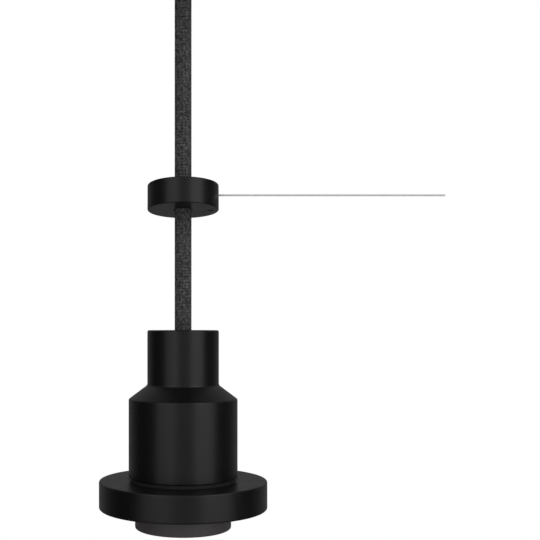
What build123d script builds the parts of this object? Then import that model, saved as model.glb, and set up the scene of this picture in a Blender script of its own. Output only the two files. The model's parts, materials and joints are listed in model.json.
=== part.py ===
from build123d import *
import math
import os

# Pendant lamp holder: a turned holder on a textile cord, with a clamp and its steel wire on the cord.
# Millimetres, +Z up. The origin is the middle of the mounting bar's top face, flat on the ceiling,
# and everything else hangs below it on the Z axis.

os.makedirs("parts", exist_ok=True)

# Fits
thread_clearance = 0.1  # radial, a thread modelled plain in its hole
running_clearance = 0.08  # radial, pieces that slide or turn on each other
soft_clearance = 0.3  # radial, a soft ring round a piece that passes through it
seat_clearance = 0.15  # a piece dropped into its pocket
pass_clearance = 0.2  # radial, a piece that passes through a plain hole

# Cord, its three cores and the clamp's wire
cord_radius = 3.3
core_radius = 1.1
core_circle = 1.5
core_spread = 30.0  # degrees, two cores lie this far below the X axis, the third on +Y
core_bend = 2.4
wire_radius = 0.4

# Where things hang, measured down from the ceiling
clamp_drop = 118.7
neck_drop = 171.6

# Ceiling fitting
cover_radius = 40.0
cover_height = 26.0
cover_wall = 1.5
cover_edge = 2.0
bar_width = 12.0
bar_thickness = 2.0
bar_lug_depth = 12.0
bar_corner = 2.0
bar_gap = 0.5
slot_spacing = 44.0
slot_length = 14.0
slot_radius = 2.3
cover_screw_radius = 2.0
cover_screw_head_radius = 3.5
cover_screw_head = 2.2
cover_screw_drop = 7.5
cover_screw_length = 7.0
gland_radius = 7.0
gland_nose = 8.0
gland_thread_radius = 5.0
gland_thread = 13.0
gland_screw_radius = 1.5
gland_screw_drop = 4.0
nut_flats = 14.0
nut_thickness = 3.0
strip_length = 26.0
strip_width = 16.0
strip_base = 8.5
strip_tower_radius = 3.2
strip_tower = 3.5
strip_pitch = 8.0
strip_offset = 11.0
strip_screw_radius = 1.4
strip_screw_inset = 4.0
strip_screw_sink = 1.0
strip_wire_height = 5.0
strip_corner = 1.0
core_loop = 4.8  # the supply cores rise this far above the sheath
core_drop = 3.0  # and come down this far in front of the strip
cord_tail = 2.0  # sheath left standing above the gland

# Clamp on the cord
clamp_lean = 6.0  # degrees, the ring leans on its bush so that its front edge is the higher one
clamp_radius = 14.25
clamp_height = 10.2
clamp_chamfer = 0.4
clamp_web = 2.0
counterbore_radius = 5.9
bush_flange_radius = 5.4
bush_flange = 1.4
bush_radius = 4.3
clip_thickness = 1.5
clip_gap = 0.1
wire_rise = 1.1  # the wire lies this far above the clamp's mid height
wire_hole_radius = 0.7
wire_seat = 7.2
wire_reach = 104.9
wire_screw_radius = 1.0
wire_screw_place = 11.0
wire_screw_sink = 0.4
wire_screw_socket = 1.5

# Turned holder
neck_radius = 14.3
neck_length = 21.9
cone_height = 5.6
body_length = 31.1
neck_wall = 2.5
body_wall = 2.0
body_room = 0.55  # radial, between the body's bore and the skirt and cap
head_thickness = 8.0
cord_web = 2.5
edge_chamfer = 0.5
shoulder_fillet = 0.4

# Shade ring and its washer
ring_gap = 1.25
ring_radius = 33.55
ring_thickness = 10.95
ring_chamfer = 0.6
washer_seat = 0.2  # depth of the washer's recess in the ring's top
washer_radius = 20.9

# Lamp holder inside: nipple, cap, contact block, screw shell and skirt
nipple_radius = 5.0
nipple_bore = 3.75
cap_drop = 22.4  # from the top of the neck to the top of the cap's collar
collar_radius = 7.5
collar_length = 6.0
dome_flat = 10.0
dome_height = 6.0
cap_wall = 1.5
cap_depth = 22.0  # from the dome's top to the cap's lower rim
cap_inner_radius = 16.4
block_drop = 14.0  # from the dome's top to the contact block's flange
flange_thickness = 2.0
block_radius = 16.2
block_height = 10.0
skirt_radius = 19.2
skirt_below_ring = 8.1
skirt_bore = 14.8
lip_radius = 14.1
lip_height = 3.0
skirt_edge = 0.8
shell_bore = 13.35
shell_wall = 0.4
shell_floor_hole = 6.0
shell_floor_radius = 11.2
shell_taper = 4.5
grip_radius = 6.0
grip_height = 4.0
grip_slit = 1.0
grip_lug_width = 5.2
grip_lug_reach = 9.4
grip_screw_radius = 0.9
grip_screw_head_radius = 1.53
grip_screw_head = 0.9
cord_end = 0.8  # sheath left below the cord grip

# Contacts
terminal_place = 9.0
terminal_length = 6.0
terminal_width = 7.0
terminal_height = 7.7
pocket_depth = 3.2
terminal_wire_height = 5.8
terminal_hole_radius = 1.3
terminal_screw_radius = 1.45
terminal_screw_head = 1.0
rivet_side = 8.0  # the two rivets at the back stand this far to each side
rivet_radius = 1.2
rivet_head_radius = 2.0
rivet_head = 0.8
rivet_foot = 0.6
plunger_radius = 2.2
plunger_collar_radius = 3.1
plunger_collar = 1.0
plunger_lip = 1.5
plunger_out = 3.5
plunger_nose = 1.0
chamber_radius = 3.3
spring_radius = 2.5
spring_wire = 0.25
spring_turns = 5
live_strip_width = 5.0
live_strip_thickness = 0.8
earth_length = 5.0
earth_width = 4.0
earth_height = 6.0
earth_wall_gap = 0.3
slot_cut = 0.6
slot_depth = 0.7

# Levels worked out from the sizes above
cover_floor = -cover_height
cord_hole_radius = cord_radius + pass_clearance
gland_top = cover_floor + gland_thread
cord_top = gland_top + cord_tail
skirt_room_radius = skirt_radius + body_room
body_radius = skirt_room_radius + body_wall
neck_top = -neck_drop
cone_top = neck_top - neck_length
body_top = cone_top - cone_height
body_bottom = body_top - body_length
ring_top = body_bottom - ring_gap
ring_bottom = ring_top - ring_thickness
skirt_bottom = ring_bottom - skirt_below_ring
head_bottom = neck_top - head_thickness
cap_top = neck_top - cap_drop
dome_top = cap_top - collar_length
cap_bottom = dome_top - cap_depth
block_top = dome_top - block_drop
skirt_top = block_top - flange_thickness
block_bottom = block_top - block_height
grip_top = dome_top - cap_wall
grip_bottom = grip_top - grip_height
cord_bottom = grip_bottom - cord_end
core_side = core_circle * math.cos(math.radians(core_spread))
core_back = core_circle * math.sin(math.radians(core_spread))


# Ceiling cover: a drawn steel cup, open at the ceiling, with a hole for the gland in its floor
with BuildPart() as ceiling_cover:
    with BuildSketch(Plane.XY.offset(cover_floor)):
        Circle(cover_radius)
    extrude(amount=cover_height)
    fillet(ceiling_cover.faces().sort_by(Axis.Z)[0].edges(), cover_edge)
    with BuildSketch(Plane.XY.offset(cover_floor + cover_wall)):
        Circle(cover_radius - cover_wall)
    extrude(amount=cover_height, mode=Mode.SUBTRACT)
    with BuildSketch(Plane.XY.offset(cover_floor)):
        Circle(gland_thread_radius + thread_clearance)
    extrude(amount=cover_wall, mode=Mode.SUBTRACT)
    with BuildSketch(Plane.YZ.offset(-cover_radius)):
        with Locations((0, -cover_screw_drop)):
            Circle(cover_screw_radius + pass_clearance)
    extrude(amount=2 * cover_radius, mode=Mode.SUBTRACT)
ceiling_cover.part.label = "ceiling_cover"
export_step(ceiling_cover.part, "parts/ceiling_cover.step")

# Mounting bar: a steel strip with two slots for the ceiling's screws and a tapped lug at each end
lug_face = ((cover_radius - cover_wall) ** 2 - (bar_width / 2) ** 2) ** 0.5 - bar_gap
with BuildPart() as mounting_bar:
    with BuildSketch(Plane.XZ.offset(-bar_width / 2)):
        with BuildLine():
            Polyline(
                (-lug_face, 0), (lug_face, 0), (lug_face, -bar_lug_depth),
                (lug_face - bar_thickness, -bar_lug_depth), (lug_face - bar_thickness, -bar_thickness),
                (bar_thickness - lug_face, -bar_thickness), (bar_thickness - lug_face, -bar_lug_depth),
                (-lug_face, -bar_lug_depth), close=True,
            )
        make_face()
    extrude(amount=bar_width)
    with BuildSketch(Plane.XY.offset(-bar_thickness)):
        with GridLocations(slot_spacing, 0, 2, 1):
            SlotOverall(slot_length, 2 * slot_radius)
    extrude(amount=bar_thickness, mode=Mode.SUBTRACT)
    with BuildSketch(Plane.YZ.offset(-lug_face)):
        with Locations((0, -cover_screw_drop)):
            Circle(cover_screw_radius + thread_clearance)
    extrude(amount=2 * lug_face, mode=Mode.SUBTRACT)
    fillet(mounting_bar.edges().filter_by(Axis.X).group_by(Axis.Z)[0], bar_corner)
mounting_bar.part.label = "mounting_bar"
export_step(mounting_bar.part, "parts/mounting_bar.step")

# Cover screws: two slotted screws through the cover's wall into the bar's lugs
with BuildPart() as cover_screws:
    for side in (1, -1):
        head_plane = Plane(origin=(side * cover_radius, 0, -cover_screw_drop), z_dir=(side, 0, 0))
        with BuildSketch(head_plane):
            Circle(cover_screw_head_radius)
        extrude(amount=cover_screw_head)
        with BuildSketch(head_plane):
            Circle(cover_screw_radius)
        extrude(amount=-cover_screw_length)
        with BuildSketch(head_plane.offset(cover_screw_head)):
            Rectangle(2 * cover_screw_head_radius, slot_cut)
        extrude(amount=-slot_depth, mode=Mode.SUBTRACT)
cover_screws.part.label = "cover_screws"
export_step(cover_screws.part, "parts/cover_screws.step")

# Ceiling gland: a threaded tube with a turned nose below the cover, bored for the cord
with BuildPart() as ceiling_gland:
    with BuildSketch(Plane.XY.offset(cover_floor)):
        Circle(gland_radius)
    extrude(amount=-gland_nose)
    chamfer(ceiling_gland.faces().sort_by(Axis.Z)[0].edges(), edge_chamfer)
    with BuildSketch(Plane.XY.offset(cover_floor)):
        Circle(gland_thread_radius)
    extrude(amount=gland_thread)
    with BuildSketch(Plane.XY.offset(cover_floor - gland_nose)):
        Circle(cord_hole_radius)
    extrude(amount=gland_nose + gland_thread, mode=Mode.SUBTRACT)
    with BuildSketch(Plane.XZ.offset(-gland_radius)):
        with Locations((0, cover_floor - gland_screw_drop)):
            Circle(gland_screw_radius + thread_clearance)
    extrude(amount=gland_radius, mode=Mode.SUBTRACT)
ceiling_gland.part.label = "ceiling_gland"
export_step(ceiling_gland.part, "parts/ceiling_gland.step")

# Gland nut: holds the gland in the cover's floor
with BuildPart() as gland_nut:
    with BuildSketch(Plane.XY.offset(cover_floor + cover_wall)):
        RegularPolygon(nut_flats / 2, 6, major_radius=False)
        Circle(gland_thread_radius + thread_clearance, mode=Mode.SUBTRACT)
    extrude(amount=nut_thickness)
gland_nut.part.label = "gland_nut"
export_step(gland_nut.part, "parts/gland_nut.step")

# Gland screw: a nylon grub screw at the back of the nose that pinches the cord
with BuildPart() as gland_screw:
    screw_plane = Plane(origin=(0, gland_radius, cover_floor - gland_screw_drop), z_dir=(0, 1, 0))
    with BuildSketch(screw_plane):
        Circle(gland_screw_radius)
    extrude(amount=-(gland_radius - cord_radius))
    with BuildSketch(screw_plane):
        Rectangle(2 * gland_screw_radius, slot_cut)
    extrude(amount=-slot_depth, mode=Mode.SUBTRACT)
gland_screw.part.label = "gland_screw"
export_step(gland_screw.part, "parts/gland_screw.step")

# Terminal strip: a moulded block of three poles, laid on the cover's floor behind the gland
strip_floor = cover_floor + cover_wall
strip_middle = strip_offset + strip_width / 2
strip_rows = strip_width - 2 * strip_screw_inset
strip_wire_level = strip_floor + strip_wire_height
strip_top = strip_floor + strip_base + strip_tower
with BuildPart() as terminal_strip:
    with BuildSketch(Plane.XY.offset(strip_floor)):
        with Locations((0, strip_middle)):
            Rectangle(strip_length, strip_width)
    extrude(amount=strip_base)
    fillet(terminal_strip.edges().filter_by(Axis.Z), strip_corner)
    with BuildSketch(Plane.XY.offset(strip_floor + strip_base)):
        with Locations((0, strip_middle)):
            with GridLocations(strip_pitch, strip_rows, 3, 2):
                Circle(strip_tower_radius)
    extrude(amount=strip_tower)
    with BuildSketch(Plane.XZ.offset(-strip_offset - strip_width)):
        with Locations((0, strip_wire_level)):
            with GridLocations(strip_pitch, 0, 3, 1):
                Circle(core_radius + pass_clearance)
    extrude(amount=strip_width, mode=Mode.SUBTRACT)
    with BuildSketch(Plane.XY.offset(strip_top)):
        with Locations((0, strip_middle)):
            with GridLocations(strip_pitch, strip_rows, 3, 2):
                Circle(strip_screw_radius + thread_clearance)
    extrude(amount=strip_wire_level - strip_top, mode=Mode.SUBTRACT)
terminal_strip.part.label = "terminal_strip"
export_step(terminal_strip.part, "parts/terminal_strip.step")

# Strip screws: six slotted screws that press on the cores in the strip
with BuildPart() as strip_screws:
    with BuildSketch(Plane.XY.offset(strip_wire_level + core_radius)):
        with Locations((0, strip_middle)):
            with GridLocations(strip_pitch, strip_rows, 3, 2):
                Circle(strip_screw_radius)
    extrude(amount=strip_top - strip_screw_sink - strip_wire_level - core_radius)
    with BuildSketch(Plane.XY.offset(strip_top - strip_screw_sink)):
        with Locations((0, strip_middle)):
            with GridLocations(strip_pitch, strip_rows, 3, 2):
                Rectangle(2 * strip_screw_radius, slot_cut)
    extrude(amount=-slot_depth, mode=Mode.SUBTRACT)
strip_screws.part.label = "strip_screws"
export_step(strip_screws.part, "parts/strip_screws.step")

# Supply cores: out of the cord's upper end, over and down into the terminal strip
core_rise = cord_top + core_loop
core_fall = strip_offset - core_drop
core_in = strip_offset + strip_screw_inset + strip_screw_radius
supply_routes = {
    "supply_live": (-core_side, -core_back, -strip_pitch),
    "supply_neutral": (core_side, -core_back, strip_pitch),
    "supply_earth": (0, core_circle, 0),
}
for core_name, (start_x, start_y, pole_x) in supply_routes.items():
    with BuildPart() as supply_core:
        with BuildLine() as supply_path:
            FilletPolyline(
                (start_x, start_y, cord_top), (start_x, start_y, core_rise),
                (pole_x, core_fall, core_rise), (pole_x, core_fall, strip_wire_level),
                (pole_x, core_in, strip_wire_level), radius=core_bend,
            )
        with BuildSketch(Plane(origin=supply_path.line @ 0, z_dir=supply_path.line % 0)):
            Circle(core_radius)
        sweep()
    supply_core.part.label = core_name
    export_step(supply_core.part, "parts/" + core_name + ".step")

# Flex cord: three cores under a woven sleeve, pulled straight by the holder's weight
with BuildPart() as flex_cord:
    with BuildSketch(Plane.XY.offset(cord_bottom)):
        Circle(cord_radius)
    extrude(amount=cord_top - cord_bottom)
flex_cord.part.label = "flex_cord"
export_step(flex_cord.part, "parts/flex_cord.step")

# The clamp leans about the middle of its bush's flange. Its own levels are measured from there, along
# its leaning axis, and its holes leave room for the upright bush and cord.
lean = math.radians(clamp_lean)
flange_reach = bush_flange_radius * math.sin(lean) + bush_flange / 2 * math.cos(lean)
web_top = -flange_reach - clip_gap
clamp_bottom = web_top - clamp_web
clamp_top = clamp_bottom + clamp_height
clamp_middle = (clamp_bottom + clamp_top) / 2
clip_bottom = flange_reach + clip_gap
clip_top = clip_bottom + clip_thickness
clip_bore = bush_radius / math.cos(lean) + clip_top * math.tan(lean) + running_clearance
clamp_hole_radius = cord_radius / math.cos(lean) - clamp_bottom * math.tan(lean) + thread_clearance
lean_level = -clamp_drop - clamp_middle * math.cos(lean)
clamp_plane = Plane(origin=(0, 0, lean_level), x_dir=(1, 0, 0), z_dir=(0, math.sin(lean), math.cos(lean)))
wire_height = clamp_middle + wire_rise
wire_plane = Plane(origin=clamp_plane.from_local_coords((wire_seat, 0, wire_height)), z_dir=(1, 0, 0))

# Clamp ring: a turned disc on the cord, counterbored from above for its bush, drilled for the wire
with BuildPart() as clamp_ring:
    with BuildSketch(clamp_plane.offset(clamp_bottom)):
        Circle(clamp_radius)
    extrude(amount=clamp_height)
    chamfer(clamp_ring.edges().filter_by(GeomType.CIRCLE), clamp_chamfer)
    with BuildSketch(clamp_plane.offset(clamp_bottom)):
        Circle(clamp_hole_radius)
    extrude(amount=clamp_height, mode=Mode.SUBTRACT)
    with BuildSketch(clamp_plane.offset(web_top)):
        Circle(counterbore_radius)
    extrude(amount=clamp_height, mode=Mode.SUBTRACT)
    with BuildSketch(wire_plane):
        Circle(wire_hole_radius)
    extrude(amount=clamp_radius, mode=Mode.SUBTRACT)
    with BuildSketch(clamp_plane.offset(clamp_bottom)):
        with Locations((wire_screw_place, 0)):
            Circle(wire_screw_radius + thread_clearance)
    extrude(amount=wire_height - clamp_bottom, mode=Mode.SUBTRACT)
clamp_ring.part.label = "clamp_ring"
export_step(clamp_ring.part, "parts/clamp_ring.step")

# Clamp bush: an upright nylon sleeve that grips the woven cord and lets the ring turn round it
bush_bottom = lean_level - bush_flange / 2
flange_top = lean_level + bush_flange / 2
bush_top = lean_level + clamp_top * math.cos(lean) - bush_radius * math.tan(lean)
bush_bore = cord_radius + running_clearance
with BuildPart() as clamp_bush:
    with BuildSketch(Plane.XZ):
        with BuildLine():
            Polyline(
                (bush_bore, bush_bottom), (bush_flange_radius, bush_bottom),
                (bush_flange_radius, flange_top), (bush_radius, flange_top),
                (bush_radius, bush_top), (bush_bore, bush_top), close=True,
            )
        make_face()
    revolve(axis=Axis.Z)
clamp_bush.part.label = "clamp_bush"
export_step(clamp_bush.part, "parts/clamp_bush.step")

# Bush clip: a ring pressed into the counterbore above the bush's flange, which carries the ring
with BuildPart() as bush_clip:
    with BuildSketch(clamp_plane.offset(clip_bottom)):
        Circle(counterbore_radius)
        Circle(clip_bore, mode=Mode.SUBTRACT)
    extrude(amount=clip_thickness)
bush_clip.part.label = "bush_clip"
export_step(bush_clip.part, "parts/bush_clip.step")

# Wire screw: a grub screw in the clamp's underside that holds the wire
wire_underside = wire_height - wire_radius
screw_face = clamp_bottom + wire_screw_sink
with BuildPart() as wire_screw:
    with BuildSketch(clamp_plane.offset(screw_face)):
        with Locations((wire_screw_place, 0)):
            Circle(wire_screw_radius)
    extrude(amount=wire_underside - screw_face)
    with BuildSketch(clamp_plane.offset(screw_face)):
        with Locations((wire_screw_place, 0)):
            RegularPolygon(wire_screw_radius / 2, 6)
    extrude(amount=wire_screw_socket, mode=Mode.SUBTRACT)
wire_screw.part.label = "wire_screw"
export_step(wire_screw.part, "parts/wire_screw.step")

# Suspension wire: a straight steel wire held in the clamp, its far end bare
with BuildPart() as suspension_wire:
    with BuildSketch(wire_plane):
        Circle(wire_radius)
    extrude(amount=wire_reach - wire_seat)
suspension_wire.part.label = "suspension_wire"
export_step(suspension_wire.part, "parts/suspension_wire.step")

# Holder cup: neck, shoulder and body turned in one piece, hollow, its thick head tapped from below
neck_bore = neck_radius - neck_wall
nipple_top = neck_top - cord_web
nipple_hole = nipple_radius + thread_clearance
with BuildPart() as holder_cup:
    with BuildSketch(Plane.XZ):
        with BuildLine():
            Polyline(
                (cord_hole_radius, neck_top), (neck_radius, neck_top), (neck_radius, cone_top),
                (body_radius, body_top), (body_radius, body_bottom), (skirt_room_radius, body_bottom),
                (skirt_room_radius, body_top - body_wall / 2), (neck_bore, cone_top - body_wall / 2),
                (neck_bore, head_bottom), (nipple_hole, head_bottom), (nipple_hole, nipple_top),
                (cord_hole_radius, nipple_top), close=True,
            )
        make_face()
    revolve(axis=Axis.Z)
    rims = holder_cup.edges().filter_by(GeomType.CIRCLE)
    top_rim = rims.filter_by_position(Axis.Z, neck_top, neck_top).sort_by(SortBy.RADIUS)[-1]
    bottom_rim = rims.filter_by_position(Axis.Z, body_bottom, body_bottom).sort_by(SortBy.RADIUS)[-1]
    shoulder = rims.filter_by_position(Axis.Z, body_top, body_top)
    chamfer([top_rim, bottom_rim], edge_chamfer)
    fillet(shoulder, shoulder_fillet)
holder_cup.part.label = "holder_cup"
export_step(holder_cup.part, "parts/holder_cup.step")

# Nipple: a threaded tube that joins the cup's head to the cap and leads the cord down
with BuildPart() as nipple:
    with BuildSketch(Plane.XY.offset(grip_top)):
        Circle(nipple_radius)
        Circle(nipple_bore, mode=Mode.SUBTRACT)
    extrude(amount=nipple_top - grip_top)
nipple.part.label = "nipple"
export_step(nipple.part, "parts/nipple.step")

# Nipple nut: locks the nipple against the underside of the cup's head
with BuildPart() as nipple_nut:
    with BuildSketch(Plane.XY.offset(head_bottom - nut_thickness)):
        RegularPolygon(nut_flats / 2, 6, major_radius=False)
        Circle(nipple_hole, mode=Mode.SUBTRACT)
    extrude(amount=nut_thickness)
nipple_nut.part.label = "nipple_nut"
export_step(nipple_nut.part, "parts/nipple_nut.step")

# Holder cap: the lamp holder's metal dome, with a threaded collar and a step that clamps the block
cap_radius = skirt_radius
cap_thread = cap_radius - cap_wall
with BuildPart() as holder_cap:
    with BuildSketch(Plane.XZ):
        with BuildLine():
            Polyline(
                (dome_flat, grip_top), (nipple_hole, grip_top), (nipple_hole, cap_top),
                (collar_radius, cap_top), (collar_radius, dome_top), (dome_flat, dome_top),
            )
            TangentArc((dome_flat, dome_top), (cap_radius, dome_top - dome_height), tangent=(1, 0))
            Polyline(
                (cap_radius, dome_top - dome_height), (cap_radius, cap_bottom), (cap_thread, cap_bottom),
                (cap_thread, block_top), (cap_inner_radius, block_top),
                (cap_inner_radius, dome_top - dome_height),
            )
            TangentArc((dome_flat, grip_top), (cap_inner_radius, dome_top - dome_height), tangent=(1, 0))
        make_face()
    revolve(axis=Axis.Z)
holder_cap.part.label = "holder_cap"
export_step(holder_cap.part, "parts/holder_cap.step")

# Cord grip: a split nylon collar screwed tight on the sheath under the nipple
grip_bore = cord_radius + pass_clearance / 4
lug_middle = (grip_radius + grip_lug_reach) / 2
with BuildPart() as cord_grip:
    with BuildSketch(Plane.XY.offset(grip_bottom)):
        Circle(grip_radius)
        with Locations((0, -grip_lug_reach / 2)):
            Rectangle(grip_lug_width, grip_lug_reach)
        Circle(grip_bore, mode=Mode.SUBTRACT)
        with Locations((0, -grip_lug_reach / 2)):
            Rectangle(grip_slit, grip_lug_reach, mode=Mode.SUBTRACT)
    extrude(amount=grip_height)
    with BuildSketch(Plane.YZ.offset(-grip_lug_width)):
        with Locations((-lug_middle, grip_bottom + grip_height / 2)):
            Circle(grip_screw_radius + thread_clearance)
    extrude(amount=2 * grip_lug_width, mode=Mode.SUBTRACT)
cord_grip.part.label = "cord_grip"
export_step(cord_grip.part, "parts/cord_grip.step")

# Grip screw: draws the collar's two lugs together
with BuildPart() as grip_screw:
    with BuildSketch(Plane.YZ.offset(-grip_lug_width / 2)):
        with Locations((-lug_middle, grip_bottom + grip_height / 2)):
            Circle(grip_screw_radius)
    extrude(amount=grip_lug_width)
    with BuildSketch(Plane.YZ.offset(grip_lug_width / 2)):
        with Locations((-lug_middle, grip_bottom + grip_height / 2)):
            Circle(grip_screw_head_radius)
    extrude(amount=grip_screw_head)
grip_screw.part.label = "grip_screw"
export_step(grip_screw.part, "parts/grip_screw.step")

# Contact block: a moulded insert with pockets for the terminals, rivet holes and a spring chamber
pocket_floor = block_top - pocket_depth
lip_top = block_bottom + plunger_lip
terminal_middle = -core_back
rivet_back = -terminal_place / 2
rivet_places = [(terminal_place, terminal_middle), (rivet_back, rivet_side), (rivet_back, -rivet_side)]
with BuildPart() as contact_block:
    with BuildSketch(Plane.XY.offset(block_bottom)):
        Circle(block_radius)
    extrude(amount=block_height)
    with BuildSketch(Plane.XY.offset(skirt_top)):
        Circle(cap_thread - seat_clearance)
    extrude(amount=flange_thickness)
    with BuildSketch(Plane.XY.offset(pocket_floor)):
        with Locations((-terminal_place, terminal_middle), (terminal_place, terminal_middle)):
            Rectangle(terminal_length + 2 * seat_clearance, terminal_width + 2 * seat_clearance)
    extrude(amount=pocket_depth, mode=Mode.SUBTRACT)
    with BuildSketch(Plane.XY.offset(pocket_floor - rivet_head)):
        with Locations(rivet_places):
            Circle(rivet_head_radius + pass_clearance)
    extrude(amount=pocket_depth + rivet_head, mode=Mode.SUBTRACT)
    with BuildSketch(Plane.XY.offset(block_bottom)):
        with Locations(rivet_places):
            Circle(rivet_radius + pass_clearance / 2)
    extrude(amount=block_height, mode=Mode.SUBTRACT)
    with BuildSketch(Plane.XY.offset(lip_top)):
        Circle(chamber_radius)
    extrude(amount=block_height, mode=Mode.SUBTRACT)
    with BuildSketch(Plane.XY.offset(block_bottom)):
        Circle(plunger_radius + running_clearance)
    extrude(amount=block_height, mode=Mode.SUBTRACT)
contact_block.part.label = "contact_block"
export_step(contact_block.part, "parts/contact_block.step")

# Terminals: two brass blocks standing in the pockets, drilled for a core and tapped for a screw
terminal_top = pocket_floor + terminal_height
core_level = pocket_floor + terminal_wire_height
for terminal_name, side in (("live_terminal", -1), ("neutral_terminal", 1)):
    with BuildPart() as terminal:
        with BuildSketch(Plane.XY.offset(pocket_floor)):
            with Locations((side * terminal_place, terminal_middle)):
                Rectangle(terminal_length, terminal_width)
        extrude(amount=terminal_height)
        with BuildSketch(Plane.YZ.offset(side * (terminal_place - terminal_length))):
            with Locations((terminal_middle, core_level)):
                Circle(terminal_hole_radius)
        extrude(amount=side * (terminal_length + terminal_screw_radius), mode=Mode.SUBTRACT)
        with BuildSketch(Plane.XY.offset(core_level)):
            with Locations((side * terminal_place, terminal_middle)):
                Circle(terminal_screw_radius + thread_clearance)
        extrude(amount=terminal_height, mode=Mode.SUBTRACT)
    terminal.part.label = terminal_name
    export_step(terminal.part, "parts/" + terminal_name + ".step")

# Terminal screws: slotted, one on each core
screw_foot = core_level + core_radius
with BuildPart() as terminal_screws:
    with BuildSketch(Plane.XY.offset(screw_foot)):
        with Locations((-terminal_place, terminal_middle), (terminal_place, terminal_middle)):
            Circle(terminal_screw_radius)
    extrude(amount=terminal_top + terminal_screw_head - screw_foot)
    with BuildSketch(Plane.XY.offset(terminal_top + terminal_screw_head)):
        with Locations((-terminal_place, terminal_middle), (terminal_place, terminal_middle)):
            Rectangle(2 * terminal_screw_radius, slot_cut)
    extrude(amount=-slot_depth, mode=Mode.SUBTRACT)
terminal_screws.part.label = "terminal_screws"
export_step(terminal_screws.part, "parts/terminal_screws.step")

# Shell rivets: three brass rivets that hold the screw shell to the block, one under a terminal
with BuildPart() as shell_rivets:
    with BuildSketch(Plane.XY.offset(pocket_floor - rivet_head)):
        with Locations(rivet_places):
            Circle(rivet_head_radius)
    extrude(amount=rivet_head)
    with BuildSketch(Plane.XY.offset(block_bottom - shell_wall)):
        with Locations(rivet_places):
            Circle(rivet_radius)
    extrude(amount=pocket_floor - rivet_head - block_bottom + shell_wall)
    with BuildSketch(Plane.XY.offset(block_bottom - shell_wall)):
        with Locations(rivet_places):
            Circle(rivet_head_radius)
    extrude(amount=-rivet_foot)
shell_rivets.part.label = "shell_rivets"
export_step(shell_rivets.part, "parts/shell_rivets.step")

# Live strip: a flat brass spring seat from the live terminal over the spring chamber
strip_start = -terminal_place + terminal_length / 2
with BuildPart() as live_strip:
    with BuildSketch(Plane.XY.offset(block_top)):
        with Locations(((strip_start + chamber_radius) / 2, 0)):
            Rectangle(chamber_radius - strip_start, live_strip_width)
        Circle(chamber_radius + live_strip_thickness)
    extrude(amount=live_strip_thickness)
live_strip.part.label = "live_strip"
export_step(live_strip.part, "parts/live_strip.step")

# Centre contact: a brass plunger with a collar, held down on the block's lip by its spring
collar_top = lip_top + plunger_collar
plunger_bottom = block_bottom - plunger_out
with BuildPart() as centre_contact:
    with BuildSketch(Plane.XY.offset(lip_top)):
        Circle(plunger_collar_radius)
    extrude(amount=plunger_collar)
    with BuildSketch(Plane.XY.offset(lip_top)):
        Circle(plunger_radius)
    extrude(amount=plunger_bottom - lip_top)
    fillet(centre_contact.faces().sort_by(Axis.Z)[0].edges(), plunger_nose)
centre_contact.part.label = "centre_contact"
export_step(centre_contact.part, "parts/centre_contact.step")

# Contact spring: a coil between the plunger's collar and the live strip
spring_height = block_top - collar_top - 2 * spring_wire
with BuildPart() as contact_spring:
    with BuildLine() as spring_path:
        Helix(
            pitch=spring_height / spring_turns, height=spring_height, radius=spring_radius,
            center=(0, 0, collar_top + spring_wire),
        )
    with BuildSketch(Plane(origin=spring_path.line @ 0, z_dir=spring_path.line % 0)):
        Circle(spring_wire)
    sweep()
contact_spring.part.label = "contact_spring"
export_step(contact_spring.part, "parts/contact_spring.step")

# Screw shell: a drawn brass cup, open below, its tapered floor riveted under the contact block
shell_radius = shell_bore + shell_wall
taper_bottom = block_bottom - shell_wall - shell_taper
shell_bottom = skirt_bottom + lip_height + clip_gap
with BuildPart() as screw_shell:
    with BuildSketch(Plane.XZ):
        with BuildLine():
            Polyline(
                (shell_floor_hole, block_bottom), (shell_floor_radius + shell_wall, block_bottom),
                (shell_radius, taper_bottom), (shell_radius, shell_bottom), (shell_bore, shell_bottom),
                (shell_bore, taper_bottom), (shell_floor_radius, block_bottom - shell_wall),
                (shell_floor_hole, block_bottom - shell_wall), close=True,
            )
        make_face()
    revolve(axis=Axis.Z)
    with BuildSketch(Plane.XY.offset(block_bottom)):
        with Locations(rivet_places):
            Circle(rivet_radius + pass_clearance / 2)
    extrude(amount=-shell_wall, mode=Mode.SUBTRACT)
screw_shell.part.label = "screw_shell"
export_step(screw_shell.part, "parts/screw_shell.step")

# Earth terminal: a brass block on the cap's wall, with its screw
earth_face = (cap_inner_radius**2 - (earth_length / 2) ** 2) ** 0.5 - earth_wall_gap
earth_middle = earth_face - earth_width / 2
earth_bottom = block_top + seat_clearance
with BuildPart() as earth_terminal:
    with BuildSketch(Plane.XY.offset(earth_bottom)):
        with Locations((0, earth_middle)):
            Rectangle(earth_length, earth_width)
    extrude(amount=earth_height)
    with BuildSketch(Plane.XZ.offset(-earth_face)):
        with Locations((0, core_level)):
            Circle(terminal_hole_radius)
    extrude(amount=earth_width, mode=Mode.SUBTRACT)
    with BuildSketch(Plane.XY.offset(core_level)):
        with Locations((0, earth_middle)):
            Circle(terminal_screw_radius + thread_clearance)
    extrude(amount=earth_height, mode=Mode.SUBTRACT)
earth_terminal.part.label = "earth_terminal"
export_step(earth_terminal.part, "parts/earth_terminal.step")

# Earth screw: slotted, on the earth core
with BuildPart() as earth_screw:
    with BuildSketch(Plane.XY.offset(screw_foot)):
        with Locations((0, earth_middle)):
            Circle(terminal_screw_radius)
    extrude(amount=earth_bottom + earth_height + terminal_screw_head - screw_foot)
    with BuildSketch(Plane.XY.offset(earth_bottom + earth_height + terminal_screw_head)):
        with Locations((0, earth_middle)):
            Rectangle(2 * terminal_screw_radius, slot_cut)
    extrude(amount=-slot_depth, mode=Mode.SUBTRACT)
earth_screw.part.label = "earth_screw"
export_step(earth_screw.part, "parts/earth_screw.step")

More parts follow.
